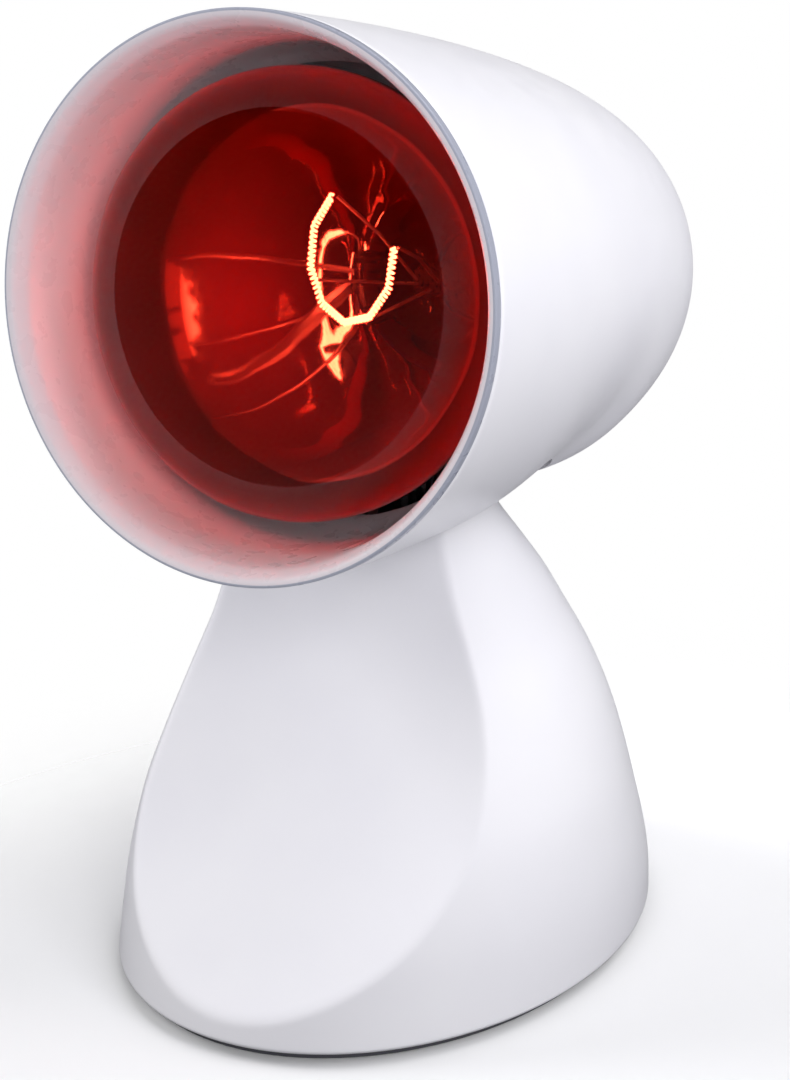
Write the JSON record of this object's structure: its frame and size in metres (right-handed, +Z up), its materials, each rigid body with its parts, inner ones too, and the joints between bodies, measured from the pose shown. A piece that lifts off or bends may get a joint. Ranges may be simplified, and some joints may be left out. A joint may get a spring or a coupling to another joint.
{
  "type": "infrared heat therapy lamp",
  "caption": "Tabletop infrared heat lamp: a bullet-shaped shade with a red reflector bulb, tilting in steps on a bell-shaped stand with a hollowed front.",
  "frame": {"origin": "centre of the bounding box, on the table under the feet", "axes": "+Z up, the lamp shines towards -Y, +X is across the lamp"},
  "size_m": [0.1198, 0.1822, 0.2201],
  "materials": {
    "white_moulding": "white gloss moulding",
    "liner_white": "white gloss inner reflector",
    "dark_plastic": "dark grey fine texture",
    "rubber": "black rubber",
    "ruby_glass": "clear ruby red glass",
    "clear_glass": "clear glass",
    "mirror": "vapour-deposited mirror",
    "steel": "zinc plated",
    "spring_steel": "blued spring steel",
    "aluminium": "bright",
    "brass": "plain",
    "ceramic": "glazed white steatite",
    "black_glass": "black vitrite",
    "tungsten": "glowing tungsten wire",
    "nylon": "natural nylon",
    "sleeving": "glass-fibre sleeving"
  },
  "bodies": {
    "stand": {"stand_shell": "white_moulding", "foot_plate": "dark_plastic", "foot_front_left": "rubber", "foot_front_right": "rubber", "foot_rear_left": "rubber", "foot_rear_right": "rubber", "plate_screw_front_left": "steel", "plate_screw_front_right": "steel", "plate_screw_rear_left": "steel", "plate_screw_rear_right": "steel", "ballast_plate": "steel", "ballast_screw": "steel", "cord_inlet_bush": "rubber", "terminal_block": "nylon", "terminal_screw_1": "brass", "terminal_screw_2": "brass", "terminal_screw_3": "brass", "terminal_screw_4": "brass", "tilt_cradle": "steel", "cradle_screw_left": "steel", "cradle_screw_right": "steel", "tilt_bolt": "steel", "tilt_spacer": "aluminium", "tilt_washer_left": "steel", "tilt_washer_right": "steel", "spring_washer": "spring_steel", "tilt_locknut": "steel", "detent_spring": "spring_steel", "lead_live": "sleeving", "lead_neutral": "sleeving"},
    "head": {"shade_shell": "white_moulding", "shade_liner": "liner_white", "tilt_chassis": "steel", "chassis_screw_front_left": "steel", "chassis_screw_front_right": "steel", "chassis_screw_rear_left": "steel", "chassis_screw_rear_right": "steel", "lampholder_body": "ceramic", "holder_sleeve": "brass", "centre_contact": "brass", "holder_bracket": "steel", "bracket_screw": "steel", "bracket_nut": "steel", "holder_screw_upper": "steel", "holder_screw_lower": "steel", "heat_shield": "aluminium", "shield_rivet": "aluminium"},
    "bulb": {"bulb_glass": "ruby_glass", "bulb_mirror": "mirror", "bulb_cap": "aluminium", "cap_insulator": "black_glass", "contact_tip": "brass", "glass_stem": "clear_glass", "filament": "tungsten", "filament_support_1": "steel", "filament_support_2": "steel", "lead_in_wire_left": "steel", "lead_in_wire_right": "steel"}
  },
  "joints": [
    {"name": "head_tilt", "type": "hinge", "parent": "stand", "child": "head", "pos_m": [0, -0.0144, 0.1117], "axis": [-1, 0, 0], "range_deg": [-6, 18], "deforming": ["lead_live", "lead_neutral"]},
    {"name": "bulb_release", "type": "slide", "parent": "head", "child": "bulb", "axis": [0, -0.9945, 0.1045], "range_m": [0, 0.14]}
  ]
}
